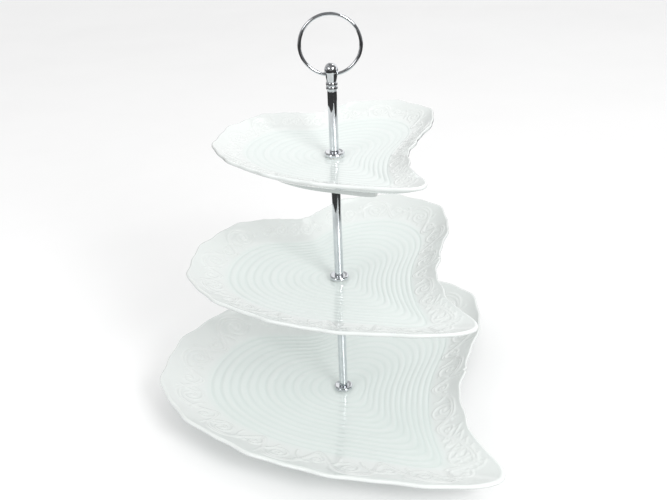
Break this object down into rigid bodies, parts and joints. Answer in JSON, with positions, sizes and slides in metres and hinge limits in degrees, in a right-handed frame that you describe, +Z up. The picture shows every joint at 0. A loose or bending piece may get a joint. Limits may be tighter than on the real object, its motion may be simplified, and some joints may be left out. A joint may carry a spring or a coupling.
{
  "type": "tiered cake stand",
  "caption": "Tiered cake stand: dished heart-shaped porcelain plates with upswept rims on a chromed centre post, with a domed finial and a swinging ring handle.",
  "frame": {"origin": "on the post's axis, in the plane of the bottom plate's foot ring", "axes": "+Z up along the post, +X to the right of the viewer, the ring handle stands in the XZ plane, the plates' tips point to +X -Y"},
  "size_m": [0.3185, 0.3633, 0.375],
  "materials": {
    "porcelain": "gloss",
    "chrome": "mirror",
    "steel": "satin",
    "rubber": "matt"
  },
  "bodies": {
    "bottom_plate_body": {"bottom_plate": "porcelain", "bottom_flange_pad": "rubber", "base_pad": "rubber"},
    "post": {"base_screw": "steel", "base_washer": "steel", "bottom_flange": "chrome", "lower_post": "chrome", "middle_under_washer": "chrome", "middle_stud": "steel", "middle_flange": "chrome", "middle_post": "chrome", "top_under_washer": "chrome", "top_stud": "steel", "top_flange": "chrome", "upper_post": "chrome", "finial_stud": "steel", "finial_head": "chrome"},
    "middle_plate_body": {"middle_plate": "porcelain", "middle_flange_pad": "rubber", "middle_under_pad": "rubber"},
    "top_plate_body": {"top_plate": "porcelain", "top_flange_pad": "rubber", "top_under_pad": "rubber"},
    "ring": {"carrying_ring": "chrome"}
  },
  "joints": [
    {"name": "post_swivel", "type": "hinge", "parent": "bottom_plate_body", "child": "post", "pos_m": [0, 0, 0.012], "axis": [0, 0, 1], "continuous": true},
    {"name": "middle_plate_swivel", "type": "hinge", "parent": "post", "child": "middle_plate_body", "pos_m": [0, 0, 0.1315], "axis": [0, 0, 1], "continuous": true},
    {"name": "top_plate_swivel", "type": "hinge", "parent": "post", "child": "top_plate_body", "pos_m": [0, 0, 0.251], "axis": [0, 0, 1], "continuous": true},
    {"name": "ring_swing", "type": "hinge", "parent": "post", "child": "ring", "pos_m": [0, 0, 0.3232], "axis": [1, 0, 0], "range_deg": [-170, 170]}
  ]
}
